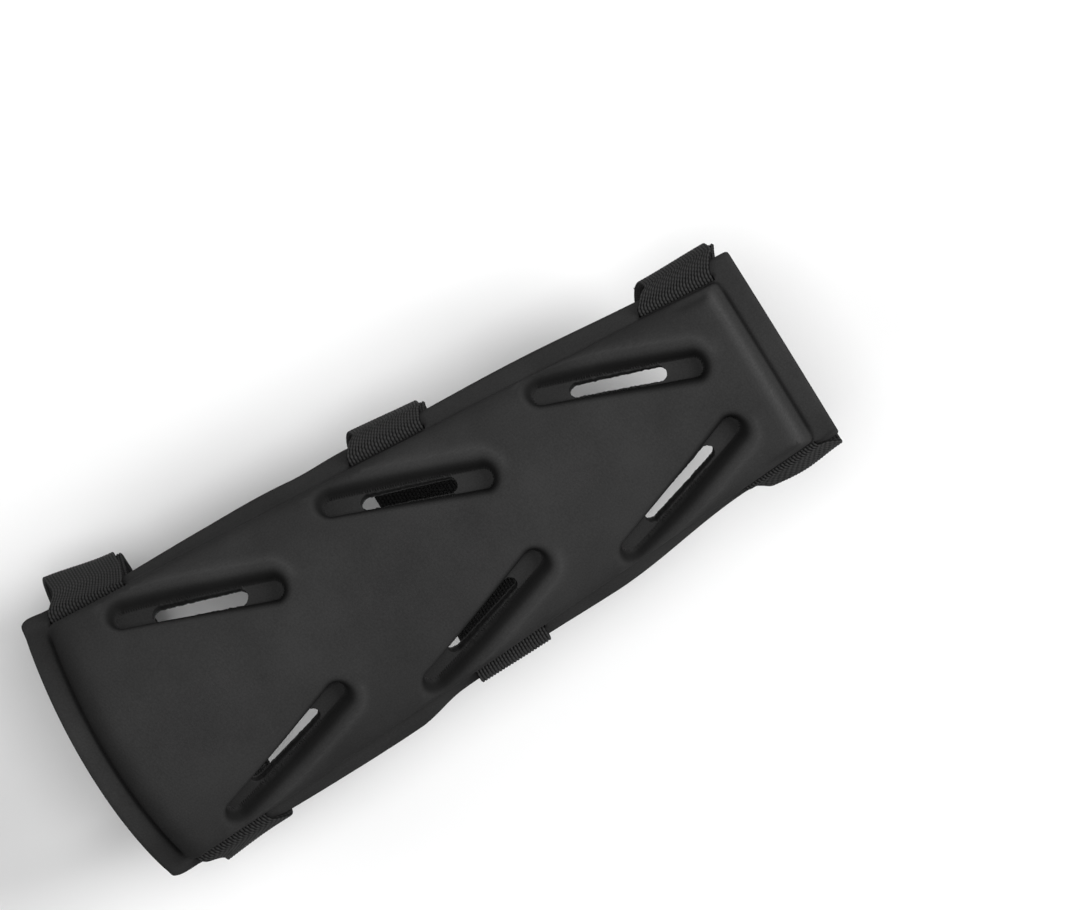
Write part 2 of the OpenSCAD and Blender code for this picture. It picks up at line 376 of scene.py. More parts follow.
def painted_shade_and_highlight(p):
    """Painted shade in the grooves, along the pad's border, inside its elbow end and round the slits, up to
    1, and painted highlight below 0 on the ridges.
    """
    inside = polygon_distance(p, pad_outline(0, 1.5))
    around = groove_distance(p)
    margin, onset, fade_out = WALL_SHADE
    # Painted shade on the groove walls and floors, along the pad's border line, inside the elbow end and
    # round the slits
    walls = eased((around + GROOVE_FOOT + margin) / onset) * (1 - eased((around + margin) / fade_out))
    floors = FLOOR_SHADE * (around < -GROOVE_FOOT)
    at_end = away_from_sides(p)
    elbow_end = p[:, 0] < 0
    line = np.exp(-(inside / np.where(elbow_end, ELBOW_SHADE_LINE[0], WRIST_SHADE_LINE[0])) ** 2)
    line *= np.where(elbow_end, ELBOW_SHADE_LINE[1] + ELBOW_SHADE_LINE[2] * at_end, WRIST_SHADE_LINE[1])
    line *= np.where(elbow_end | (PAD_ENDS[1] - p[:, 0] < WRIST_SHADE_LINE[2]), 1, SIDE_SHADE_LINE)
    fade = elbow_end * (inside > 0) * at_end * ELBOW_SHADE_FADE[0] * (1 - eased(inside / ELBOW_SHADE_FADE[1]))
    slits = np.max([1 - eased((-polygon_distance(p, cut)) / SLIT_SHADE_REACH) for cut in slit_loops(3)], axis=0)
    tone = np.clip(np.max([walls, floors, line, fade, slits], axis=0), 0, 1)
    return np.where(tone > LEAST_SHADE, tone, -painted_highlights(p))


def face_height(p):
    """Outer face of the cover."""
    inside = polygon_distance(p, pad_outline(0, 1.5))
    edge = polygon_distance(p, flange_outline(0, 1.5))
    crown = PAD_CROWN * np.clip(1 - (p[:, 1] / pad_half(p[:, 0])) ** 2, 0, 1)
    pad = PAD_HEIGHT - FLANGE_HEIGHT + crown
    before, onset, off_side = WRIST_STEP_FROM
    at_wrist = (eased((p[:, 0] - PAD_ENDS[1] + before) / onset)
                * eased((pad_half(p[:, 0]) - np.abs(p[:, 1])) / off_side))
    shoulder = rise(inside / SHOULDER, SHOULDER_POWER)
    start, reach = WRIST_SHOULDER
    shoulder += (eased((inside - start) / reach) - shoulder) * at_wrist
    height = FLANGE_HEIGHT + pad * shoulder
    from_grooves = [stadium_distance(p, c, d, GROOVE_LENGTH, GROOVE_WIDTH) for c, d in vents()]
    walls = np.prod([rise((gap + GROOVE_FOOT) / GROOVE_WALL, WALL_POWER, WALL_STEEPNESS)
                     for gap in from_grooves], axis=0)
    floor = np.minimum(GROOVE_FLOOR, height)
    uneven = UNEVEN * np.sin(p[:, 0] / 9 + 2 * np.sin(p[:, 1] / 13)) * np.cos(p[:, 1] / 11 + 0.7)
    at_end = away_from_sides(p)
    valley = VALLEY_SIDE + (np.where(p[:, 0] < 0, *VALLEY_END) - VALLEY_SIDE) * at_end
    return (floor + (height - floor) * walls - pressed(inside, valley, VALLEY_REACH)
            - pressed(edge, *CUT_EDGE) + uneven)


# ---- Meshes ----

def wrap(p, height):
    """Points at (x, s) and a height, wrapped round the arm."""
    angle = p[:, 1] / ARM_RADIUS
    r = ARM_RADIUS + height
    return np.column_stack([p[:, 0], r * np.sin(angle), r * np.cos(angle)])


def leaned(points):
    """Leans the flange and the straps beside it towards or away from the arm."""
    out = np.array(points, float)
    arc = ARM_RADIUS * np.arctan2(out[:, 1], out[:, 2])
    grow, start, fade = LEAN_ARC
    border = pad_half(out[:, 0])
    for side, knots in LEAN.items():
        weight = eased((side * arc - border) / grow) * (1 - eased((side * arc - start) / fade))
        amount = through(out[:, 0], knots) * weight
        out[:, 1] -= side * amount
        out[:, 2] -= LEAN_DROP * amount
    out[:, 0] -= WRIST_SKEW * np.clip(arc, -40, 40) * eased((out[:, 0] - 60) / 60)
    return out


def make_object(name, verts, faces, material, cloth=None, sharp=50):
    mesh = bpy.data.meshes.new(name)
    mesh.from_pydata((leaned(verts) * MM).tolist(), [], [tuple(int(i) for i in f) for f in faces])
    if cloth is not None:
        attribute = mesh.attributes.new("cloth", "FLOAT_VECTOR", "POINT")
        attribute.data.foreach_set("vector", np.asarray(cloth, np.float32).ravel())
    mesh.materials.append(material)
    mesh.update()
    mesh.shade_smooth()
    mesh.set_sharp_from_angle(angle=math.radians(sharp))
    obj = bpy.data.objects.new(name, mesh)
    bpy.context.scene.collection.objects.link(obj)
    return obj


def flat_mesh(spacing, fine):
    """Triangles over the flange with the slots and slits cut out; fine adds rows along each slope."""
    rng = np.random.default_rng(SEED)
    border = flange_outline(0, 0.9)
    cuts = slit_loops(0.8)
    for c, d in vents():
        width = SLOT_WIDTH - SLOT_TAPER * c[0] / VENT_PITCH
        ring = stadium_loop(c, d, SLOT_LENGTH, width / 2, 0.6)
        cuts.append(ring + rng.normal(0, CUT_WANDER, ring.shape))
    rows = []
    if fine:
        for inset in EDGE_ROWS:
            rows.append(flange_outline(inset, 1.0))
        for inset in PAD_ROWS:
            ring = pad_outline(inset, 0.9)
            rows.append(ring[groove_distance(ring) > inset])
        for grow in GROOVE_ROWS:
            for c, d in vents():
                ring = stadium_loop(c, d, GROOVE_LENGTH + 2 * grow, GROOVE_WIDTH / 2 + grow, 0.8)
                around = np.abs(groove_distance(ring) - grow) < 0.05
                rows.append(ring[around & (polygon_distance(ring, pad_outline(0, 1.5)) >= grow)])
    xs = np.arange(ELBOW_X - 8, WRIST_X + 1, spacing)
    ss = np.arange(-60, 60, spacing * 0.87)
    grid = np.array([(x + (j % 2) * spacing / 2, s) for j, s in enumerate(ss) for x in xs])
    if fine:
        inside = polygon_distance(grid, pad_outline(0, 1.5))
        around = groove_distance(grid)
        grid = grid[((inside < -2.4) | (inside > 10.2)) & ((around < -2.0) | (around > 5.4))]
    rows.append(grid)
    inner = np.vstack(rows)
    keep = polygon_distance(inner, border) > 0.3
    for cut in cuts:
        keep &= polygon_distance(inner, cut) < -0.3
    points, edges = [], []
    for loop in [border] + cuts:
        start = len(points)
        points += [Vector(q) for q in loop]
        edges += [(start + i, start + (i + 1) % len(loop)) for i in range(len(loop))]
    points += [Vector(q) for q in inner[keep]]
    verts, _, faces, _, _, _ = delaunay_2d_cdt(points, edges, [], 0, 1e-4)
    flat = np.array([tuple(v) for v in verts])
    tris = np.array(faces)
    middle = flat[tris].mean(axis=1)
    good = polygon_distance(middle, border) > 0
    for cut in cuts:
        good &= polygon_distance(middle, cut) < 0
    return flat, tris[good]


def layer_mesh(name, flat, tris, top, bottom, material):
    """A closed sheet between two heights over the same triangles."""
    count = len(flat)
    a, b = flat[tris[:, 0]], flat[tris[:, 1]]
    c = flat[tris[:, 2]]
    cross = (b[:, 0] - a[:, 0]) * (c[:, 1] - a[:, 1]) - (b[:, 1] - a[:, 1]) * (c[:, 0] - a[:, 0])
    tris = np.where(cross[:, None] > 0, tris, tris[:, ::-1])
    faces = [tuple(t) for t in tris] + [tuple(t[::-1] + count) for t in tris]
    directed = {(int(t[i]), int(t[(i + 1) % 3])) for t in tris for i in range(3)}
    faces += [(j, i, i + count, j + count) for i, j in sorted(directed) if (j, i) not in directed]
    verts = np.vstack([wrap(flat, top), wrap(flat, bottom)])
    cloth = np.column_stack([np.vstack([flat, flat]), np.concatenate([top, bottom])])
    used = sorted({i for f in faces for i in f})
    new = {old: i for i, old in enumerate(used)}
    return make_object(name, verts[used], [[new[i] for i in f] for f in faces], material, cloth[used])


# ---- Straps ----

def loop_point(key, x, phi, out):
    """A point of a strap's loop at x, phi round it and out from it; the loop is wider at its elbow side."""
    x0, cy, cz, half_w, half_h = STRAPS[key]
    a = math.radians(phi)
    left, right = (FLARE if phi > 0 else BACK_FLARE)[key]
    out = out + (left + (right - left) * ((x - x0) / STRAP_WIDTH + 0.5)) * abs(math.sin(a)) ** 3
    return np.array([cy + (half_w + out) * math.sin(a), cz - (half_h + out) * math.cos(a)])


def loop_path(key, x, start, end, out):
    count = int(abs(end - start) / 2) + 2
    return np.array([loop_point(key, x, phi, out) for phi in np.linspace(start, end, count)])


def polar(r, arc):
    angle = np.asarray(arc) / ARM_RADIUS
    return np.stack([r * np.sin(angle), r * np.cos(angle)], axis=-1)


UNDER = ARM_RADIUS - FIT_GAP - STRAP_THICKNESS / 2
OVER = ARM_RADIUS + FLANGE_HEIGHT + FIT_GAP + STRAP_THICKNESS / 2
TURN = 1.1
ROLL = np.array([0.35, 0.45, 0.25, 0.1, 0, 0])      # how high it rolls on its way to the flange's edge


def under_flange(x, side):
    return polar(UNDER, side * np.linspace(flange_half(x), slit_arc(x) + TURN, 6))


def in_slit(x, side, low, high):
    """Straight up through the slit, between two shares of its height."""
    height = OVER - UNDER - 2 * TURN
    return np.array([polar(UNDER + TURN + f * height, side * slit_arc(x)) for f in (low, high)])


def over_flange(x, side):
    """Up out of the slit in a small roll, then over the flange to its edge."""
    arcs = np.linspace(slit_arc(x) + TURN, flange_half(x), 6)
    return polar(OVER + ROLL, side * arcs)


def curved_into(edge, path):
    """A path from a flange edge that curves into the start of a loop, then follows it."""
    ahead = (path[1] - path[0]) / np.linalg.norm(path[1] - path[0])
    bend = path[0] - ahead * np.linalg.norm(path[0] - edge) / 2
    t = np.linspace(0, 1, 7)[1:-1, None]
    return np.vstack([(1 - t) ** 2 * edge + 2 * t * (1 - t) * bend + t ** 2 * path[0], path])


def shifted(points, start, end):
    """Adds a shift along X that runs from start to end."""
    return np.column_stack([points, np.linspace(start, end, len(points))])


def softened(points, rounds=2):
    """Cuts the corners of an open path, and keeps its ends."""
    p = np.asarray(points)
    for _ in range(rounds):
        q = [p[0]]
        for a, b in zip(p[:-1], p[1:]):
            q += [0.75 * a + 0.25 * b, 0.25 * a + 0.75 * b]
        p = np.array(q + [p[-1]])
    return p


def normals_along(path):
    """Unit normal at each point of a path in the Y-Z plane."""
    tangent = np.gradient(path, axis=0)
    tangent /= np.linalg.norm(tangent, axis=1)[:, None]
    return np.column_stack([-tangent[:, 1], tangent[:, 0]])


def webbing(name, path_at, middle_x, material, step=0.9):
    """Ribbed webbing between the paths at its elbow side and at its wrist side."""
    sides = [softened(path_at(middle_x + e * STRAP_WIDTH / 2)) for e in (-1, 1)]
    mean = (sides[0] + sides[1]) / 2
    along = np.concatenate([[0], np.cumsum(np.linalg.norm(np.diff(mean[:, :2], axis=0), axis=1))])
    at = np.linspace(0, along[-1], int(along[-1] / step))
    low, high = [np.column_stack([np.interp(at, along, q[:, k]) for k in range(3)]) for q in sides]
    samples = RIBS * CORD_SAMPLES
    u = np.linspace(-0.5, 0.5, samples + 1)
    rib = np.abs(np.sin(math.pi * (u + 0.5) * RIBS)) ** CORD_ROUNDNESS
    thin_from, thin_to = SELVAGE
    taper = np.clip((0.5 - np.abs(u)) * STRAP_WIDTH / thin_from, 0, 1) ** 0.5
    ring_u = np.concatenate([u, u[::-1]])
    face = np.repeat([1, -1], len(u))
    full = STRAP_THICKNESS / 2 * (thin_to + (1 - thin_to) * np.concatenate([taper, taper[::-1]]))
    groove = CORD_RELIEF * (1 - np.concatenate([rib, rib[::-1]]))
    share = (ring_u + 0.5)[None, :, None]
    base = low[:, None, :] * (1 - share) + high[:, None, :] * share
    normal = normals_along(low[:, :2])[:, None] * (1 - share) + normals_along(high[:, :2])[:, None] * share
    normal /= np.linalg.norm(normal, axis=2)[..., None]
    rows, count = len(at), len(ring_u)
    bend = np.linalg.norm(np.diff(normals_along(mean[:, :2]), axis=0), axis=1)
    bend = np.interp(at, along[1:], bend / np.diff(along))
    bend = np.convolve(bend, np.ones(5) / 5, "same")
    deep = CORD_DEPTH[0] + CORD_DEPTH[1] * np.clip(bend / SHARP_BEND, 0, 1)
    ring_h = face[None, :] * (full[None, :] - groove[None, :] * deep[:, None])
    verts = np.concatenate([middle_x + base[..., 2:] + (ring_u * STRAP_WIDTH)[None, :, None],
                            base[..., :2] + normal * ring_h[..., None]], axis=2).reshape(-1, 3)
    cloth = np.stack([np.broadcast_to(ring_u * STRAP_WIDTH, (rows, count)),
                      np.broadcast_to(at[:, None], (rows, count)),
                      ring_h], axis=2).reshape(-1, 3)
    faces = []
    for i in range(rows - 1):
        for j in range(count):
            k = (j + 1) % count
            faces.append((i * count + j, i * count + k, (i + 1) * count + k, (i + 1) * count + j))
    last = (rows - 1) * count
    for j in range(samples):
        mirror = count - 1 - j
        faces.append((j, mirror, mirror - 1, j + 1))
        faces.append((last + j, last + j + 1, last + mirror - 1, last + mirror))
    return make_object(name, verts, faces, material, cloth, sharp=60)


def patch(name, key, shift, start, end, low, high, material, seed, roughness):
    """A sewn patch with a raised, uneven nap on the face towards its partner."""
    rng = np.random.default_rng(seed)
    width = STRAP_WIDTH - 2 * PATCH_MARGIN
    columns = np.linspace(-0.5, 0.5, 41)
    middle = STRAPS[key][0] + shift
    paths = [loop_path(key, middle + v * width, start, end, (low + high) / 2) for v in columns]
    step = 0.7
    rows = int(np.linalg.norm(np.diff(paths[0], axis=0), axis=1).sum() / step)
    pick = np.linspace(0, len(paths[0]) - 1, rows)
    half = (high - low) / 2
    noise = rng.normal(0, roughness, (rows, len(columns)))
    verts, cloth = [], []
    for face in (1, -1):
        for i, at in enumerate(pick):
            for j, (v, path) in enumerate(zip(columns, paths)):
                k = min(int(at), len(path) - 2)
                q = path[k] + (path[k + 1] - path[k]) * (at - k)
                ahead = path[k + 1] - path[k]
                n = np.array([-ahead[1], ahead[0]]) / np.linalg.norm(ahead)
                rim = min(1, (0.5 - abs(v)) * width / 0.8) ** 0.5 if abs(v) < 0.5 else 0.0
                h = face * half * (0.4 + 0.6 * rim) + face * min(0, noise[i, j]) * rim
                y, z = q + n * h
                verts.append((middle + v * width, y, z))
                cloth.append((v * width, i * step, h))
    cols = len(columns)
    size = rows * cols
    faces = []
    for i in range(rows - 1):
        for j in range(cols - 1):
            a = i * cols + j
            faces.append((a, a + 1, a + cols + 1, a + cols))
            faces.append((size + a, size + a + cols, size + a + cols + 1, size + a + 1))
    rim = (list(range(cols)) + [i * cols + cols - 1 for i in range(1, rows)]
           + [(rows - 1) * cols + j for j in range(cols - 2, -1, -1)]
           + [i * cols for i in range(rows - 2, 0, -1)])
    for a, b in zip(rim, rim[1:] + rim[:1]):
        faces.append((b, a, size + a, size + b))
    return make_object(name, verts, faces, material, cloth)


def stitches(name, key, shift, start, end, base, material):
    """Separate thread stitches round a rectangle on the webbing."""
    reach = STRAP_WIDTH / 2 - STITCH_MARGIN
    middle = STRAPS[key][0] + shift
    span = float(np.linalg.norm(np.diff(loop_path(key, middle, start, end, base), axis=0), axis=1).sum())

    def place(v, t):
        phi = start + (end - start) * t / span
        return np.array([middle + v, *loop_point(key, middle + v, phi, base + THREAD_RADIUS * 0.45)])

    runs = [((-reach, 0), (reach, 0)), ((reach, 0), (reach, span)),
            ((reach, span), (-reach, span)), ((-reach, span), (-reach, 0))]
    verts, faces = [], []
    for (v0, t0), (v1, t1) in runs:
        run = math.hypot(v1 - v0, t1 - t0)
        count = max(1, int(run / (STITCH_LENGTH + STITCH_GAP)))
        for n in range(count):
            ends = [(n + 0.1) / count, (n + 0.9) / count]
            spine = [place(v0 + (v1 - v0) * f, t0 + (t1 - t0) * f) for f in np.linspace(*ends, 6)]
            add_thread(verts, faces, np.array(spine), THREAD_RADIUS)
    return make_object(name, verts, faces, material, verts)


def add_thread(verts, faces, spine, radius, sides=8):
    start = len(verts)
    profile = [0.35, 0.85, 1, 1, 0.85, 0.35]
    direction = spine[-1] - spine[0]
    direction /= np.linalg.norm(direction)
    a = np.cross(direction, [0.31, 0.52, 0.79])
    a /= np.linalg.norm(a)
    b = np.cross(direction, a)
    for q, f in zip(spine, profile):
        for k in range(sides):
            t = 2 * math.pi * k / sides
            verts.append(q + radius * f * (a * math.cos(t) + b * math.sin(t)))
    for i in range(len(spine) - 1):
        for k in range(sides):
            m = (k + 1) % sides
            faces.append((start + i * sides + k, start + i * sides + m,
                          start + (i + 1) * sides + m, start + (i + 1) * sides + k))
    faces.append(tuple(start + k for k in reversed(range(sides))))
    faces.append(tuple(start + (len(spine) - 1) * sides + k for k in range(sides)))


# ---- Materials ----

class Nodes:
    """A material's node tree, with short calls to add and join nodes."""

    def __init__(self, name, colour, roughness, sheen=0.0, specular=0.3):
        self.material = bpy.data.materials.new(name)
        self.material.use_nodes = True
        self.tree = self.material.node_tree
        self.shader = self.tree.nodes["Principled BSDF"]
        self.shader.inputs["Base Color"].default_value = (*colour, 1)
        self.shader.inputs["Roughness"].default_value = roughness
        self.shader.inputs["Sheen Weight"].default_value = sheen
        self.shader.inputs["Sheen Roughness"].default_value = 0.5
        self.shader.inputs["Specular IOR Level"].default_value = specular
        self.cloth = self.add("ShaderNodeAttribute")
        self.cloth.attribute_name = "cloth"

    def add(self, kind, **values):
        node = self.tree.nodes.new(kind)
        for key, value in values.items():
            if key in node.inputs:
                node.inputs[key].default_value = value
            else:
                setattr(node, key, value)
        return node

    def join(self, a, out, b, into):
        self.tree.links.new(a.outputs[out], b.inputs[into])

    def mapped(self, scale, turn=0.0):
        node = self.add("ShaderNodeMapping", Scale=scale, Rotation=(0, 0, turn))
        self.join(self.cloth, "Vector", node, "Vector")
        return node

    def noise(self, scale, detail=3.0, stretch=(1, 1, 1), turn=0.0):
        node = self.add("ShaderNodeTexNoise", Scale=scale, Detail=detail)
        self.join(self.mapped(stretch, turn), "Vector", node, "Vector")
        return node

    def wave(self, scale, turn=0.0, distortion=0.6):
        node = self.add("ShaderNodeTexWave", Scale=scale, Distortion=distortion)
        self.join(self.mapped((1, 1, 1), turn), "Vector", node, "Vector")
        return node

    def math(self, operation, a, b):
        node = self.add("ShaderNodeMath", operation=operation)
        for i, value in enumerate((a, b)):
            if isinstance(value, tuple):
                self.tree.links.new(value[0].outputs[value[1]], node.inputs[i])
            else:
                node.inputs[i].default_value = value
        return node

    def bump(self, height, strength, distance):
        node = self.add("ShaderNodeBump", Strength=strength, Distance=distance)
        self.tree.links.new(height[0].outputs[height[1]], node.inputs["Height"])
        self.join(node, "Normal", self.shader, "Normal")

    def colours(self, factor, dark, light, low=0.3, high=0.7):
        node = self.add("ShaderNodeValToRGB")
        node.color_ramp.elements[0].position = low
        node.color_ramp.elements[0].color = (*dark, 1)
        node.color_ramp.elements[1].position = high
        node.color_ramp.elements[1].color = (*light, 1)
        self.tree.links.new(factor[0].outputs[factor[1]], node.inputs["Fac"])
        self.join(node, "Color", self.shader, "Base Color")
        return node


# Painted shade: the cover's colour goes towards this grey where its painted-shade attribute is high
PAINTED_SHADE_GREY, PAINTED_SHADE_SHARE = 0.004, 0.7
PAINTED_HIGHLIGHT_GREY, PAINTED_HIGHLIGHT_SHARE = 0.075, -1.6        # painted highlight: the painted-shade attribute goes below 0 on the ridges


def grey(value):
    return (value, value * 0.995, value * 0.995)


def cover_material():
    """A fine knit with a speckle of short fibres, with painted shade in the grooves and creases and a painted
    highlight on the ridges.
    """
    m = Nodes("cover_knit", grey(0.030), 0.95, specular=0.02)
    rows = m.math("ADD", (m.wave(0.35, turn=-1.80, distortion=0.4), "Fac"),
                  (m.wave(0.31, turn=-0.42, distortion=0.4), "Fac"))
    patchy = m.noise(0.10, detail=2)
    lines = m.math("MULTIPLY", (rows, 0), (patchy, "Fac"))
    speckle = m.noise(1.9, detail=3)
    grain = m.math("ADD", (lines, 0), (m.math("MULTIPLY", (speckle, "Fac"), 2.0), 0))
    m.bump((grain, 0), strength=0.3, distance=0.00006)
    shade = m.math("ADD", (m.math("MULTIPLY", (speckle, "Fac"), 0.5), 0),
                   (m.math("MULTIPLY", (m.noise(0.05, detail=2), "Fac"), 0.5), 0))
    tone = m.colours((shade, 0), grey(0.025), grey(0.035), 0.35, 0.65)
    pressed_in = m.add("ShaderNodeAttribute")
    pressed_in.attribute_name = "pressed"
    strands = m.noise(0.9, detail=3, stretch=(0.5, 2.2, 1), turn=0.6)
    # Painted highlight on the ridges, in fine streaks
    fibres = m.math("MULTIPLY", (pressed_in, "Fac"), (strands, "Fac"))
    painted_highlight_mix = m.add("ShaderNodeMix", data_type="RGBA")
    m.tree.links.new(m.math("MULTIPLY", (fibres, 0), PAINTED_HIGHLIGHT_SHARE).outputs[0], painted_highlight_mix.inputs["Factor"])
    m.tree.links.new(tone.outputs["Color"], painted_highlight_mix.inputs[6])
    painted_highlight_mix.inputs[7].default_value = (*grey(PAINTED_HIGHLIGHT_GREY), 1)
    # Painted shade where the cover's attribute is high
    painted_shade_mix = m.add("ShaderNodeMix", data_type="RGBA")
    share = m.math("MULTIPLY", (pressed_in, "Fac"), PAINTED_SHADE_SHARE)
    m.join(share, 0, painted_shade_mix, "Factor")
    m.tree.links.new(painted_highlight_mix.outputs[2], painted_shade_mix.inputs[6])
    painted_shade_mix.inputs[7].default_value = (*grey(PAINTED_SHADE_GREY), 1)
    m.tree.links.new(painted_shade_mix.outputs[2], m.shader.inputs["Base Color"])
    return m.material


def foam_material():
    m = Nodes("foam_edge", grey(0.014), 0.95, specular=0.02)
    cells = m.add("ShaderNodeTexVoronoi", Scale=2.2)
    m.join(m.mapped((1, 1, 1)), "Vector", cells, "Vector")
    m.bump((cells, "Distance"), strength=0.5, distance=0.00015)
    m.colours((m.noise(0.8), "Fac"), grey(0.010), grey(0.018))
    return m.material


def lining_material():
    m = Nodes("lining_brushed", grey(0.034), 0.95, sheen=0.03, specular=0.03)
    loops = m.math("MULTIPLY", (m.wave(0.6), "Fac"), (m.wave(0.6, math.pi / 2), "Fac"))
    fuzz = m.noise(1.6, detail=5)
    m.bump((m.math("ADD", (loops, 0), (fuzz, "Fac")), 0), strength=0.45, distance=0.00015)
    m.colours((fuzz, "Fac"), grey(0.024), grey(0.042))
    return m.material


def webbing_material():
    """Round cords side by side, each crossed by weft threads that step from cord to cord, with painted shade
    between the cords and at sharp bends.
    """
    m = Nodes("webbing_ribbed", grey(0.030), 0.8, specular=0.06)
    pitch = STRAP_WIDTH / RIBS
    place = m.add("ShaderNodeSeparateXYZ")
    m.join(m.cloth, "Vector", place, "Vector")
    across = m.math("DIVIDE", (m.math("ADD", (place, "X"), STRAP_WIDTH / 2), 0), pitch)
    cord = m.math("ABSOLUTE", (m.math("SINE", (m.math("MULTIPLY", (across, 0), math.pi), 0), 0), 0), 0)
    step = m.math("MULTIPLY", (m.math("FLOOR", (across, 0), 0), 0), math.pi)
    turns = m.math("ADD", (m.math("MULTIPLY", (place, "Y"), 2 * math.pi / WEFT_PITCH), 0), (step, 0))
    weft = m.math("MULTIPLY", (m.math("SINE", (turns, 0), 0), 0), 0.4)
    fibres = m.math("MULTIPLY", (m.noise(2.4, detail=4, stretch=(2.5, 0.8, 1)), "Fac"), 0.6)
    height = m.math("ADD", (m.math("ADD", (cord, 0), (weft, 0)), 0), (fibres, 0))
    m.bump((height, 0), strength=0.6, distance=0.00015)
    # Painted shade: darker in the grooves between cords, and near black where the webbing is thinnest, at
    # sharp bends and its thinned edges
    threads = m.math("ADD", (weft, 0), (fibres, 0))
    half = m.math("ADD", (m.math("MULTIPLY", (cord, 0), 0.5), 0), (threads, 0))
    depth = m.math("MULTIPLY", (m.math("ABSOLUTE", (place, "Z"), 0), 0), 0.8)
    shade = m.math("ADD", (m.math("MULTIPLY", (half, 0), 0.4), 0), (depth, 0))
    m.colours((shade, 0), grey(0.004), grey(0.036), 0.24, 0.84)
    return m.material


def pile_material():
    m = Nodes("loop_pile", grey(0.014), 0.95, sheen=0.35, specular=0.1)
    fuzz = m.noise(2.6, detail=6)
    m.bump((fuzz, "Fac"), strength=0.9, distance=0.0003)
    m.colours((fuzz, "Fac"), grey(0.008), grey(0.024))
    return m.material


def hook_material():
    m = Nodes("hook_tape", grey(0.014), 0.5, specular=0.4)
    hooks = m.math("MULTIPLY", (m.wave(0.32), "Fac"), (m.wave(0.32, math.pi / 2), "Fac"))
    m.bump((hooks, 0), strength=1.0, distance=0.0004)
    m.colours((hooks, 0), grey(0.008), grey(0.024), 0.1, 0.8)
    return m.material


def thread_material():
    m = Nodes("sewing_thread", grey(0.014), 0.6, sheen=0.1, specular=0.35)
    twist = m.wave(1.3, turn=0.7, distortion=0.3)
    m.bump((twist, "Fac"), strength=0.7, distance=0.0001)
    m.colours((twist, "Fac"), grey(0.009), grey(0.024))
    return m.material


# ---- Scene ----

VIEW_TILT = math.radians(6.8)       # towards +Y from straight above the crown
VIEW_SIDE = math.radians(0.7)
VIEW_TURN = math.radians(31.1)      # how far the guard's length rises to the right
VIEW_DISTANCE = 3.333
VIEW_WIDTH = 0.3302                 # width of the view at the guard
VIEW_AIM = (0.0307, 0.0253)         # from the origin to the middle of the view, right and up
LIGHTS = (                          # metres right, up and back in the view, then watts and size
    ("key", (1.25, 0.45, 1.05), 25, 0.8),
    ("fill", (-1.1, -0.4, 1.1), 9, 1.4),
    ("top", (0, 0, 1.9), 15, 0.9),
)
WORLD_STRENGTH = 0.15
FLOOR_GREY, FLOOR_REACH, FLOOR_DROP = 0.88, 4.0, 0.0005


def make_camera():
    turn = (Matrix.Rotation(VIEW_SIDE, 3, "Y") @ Matrix.Rotation(-VIEW_TILT, 3, "X")
            @ Matrix.Rotation(-VIEW_TURN, 3, "Z"))
    right, up, back = turn.col[0], turn.col[1], turn.col[2]
    data = bpy.data.cameras.new("camera")
    data.sensor_width = 36
    data.lens = data.sensor_width * VIEW_DISTANCE / VIEW_WIDTH
    data.clip_end = 20
    camera = bpy.data.objects.new("camera", data)
    bpy.context.scene.collection.objects.link(camera)
    aim = right * VIEW_AIM[0] + up * VIEW_AIM[1]
    camera.matrix_world = Matrix.Translation(aim + back * VIEW_DISTANCE) @ turn.to_4x4()
    bpy.context.scene.camera = camera
    return right, up, back


def make_light(name, place, energy, size):
    data = bpy.data.lights.new(name, "AREA")
    data.energy = energy
    data.size = size
    light = bpy.data.objects.new(name, data)
    bpy.context.scene.collection.objects.link(light)
    light.location = place
    light.rotation_mode = "QUATERNION"
    light.rotation_quaternion = (-Vector(place)).to_track_quat("-Z", "Y")


def make_studio(right, up, back):
    for name, (to_right, to_up, to_back), energy, size in LIGHTS:
        make_light(name, right * to_right + up * to_up + back * to_back, energy, size)
    world = bpy.data.worlds.new("studio")
    world.use_nodes = True
    world.node_tree.nodes["Background"].inputs["Color"].default_value = (1, 1, 1, 1)
    world.node_tree.nodes["Background"].inputs["Strength"].default_value = WORLD_STRENGTH
    bpy.context.scene.world = world


def make_floor():
    low = cad_box[0].z - FLOOR_DROP
    mesh = bpy.data.meshes.new("floor")
    reach = FLOOR_REACH
    corners = [(-reach, -reach, low), (reach, -reach, low), (reach, reach, low), (-reach, reach, low)]
    mesh.from_pydata(corners, [], [(0, 1, 2, 3)])
    material = bpy.data.materials.new("floor_paint")
    material.use_nodes = True
    shader = material.node_tree.nodes["Principled BSDF"]
    shader.inputs["Base Color"].default_value = (FLOOR_GREY, FLOOR_GREY, FLOOR_GREY, 1)
    shader.inputs["Roughness"].default_value = 0.9
    mesh.materials.append(material)
    floor = bpy.data.objects.new("floor", mesh)
    bpy.context.scene.collection.objects.link(floor)


def finish_piece(obj, body, node):
    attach(obj, body)
    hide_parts(node)


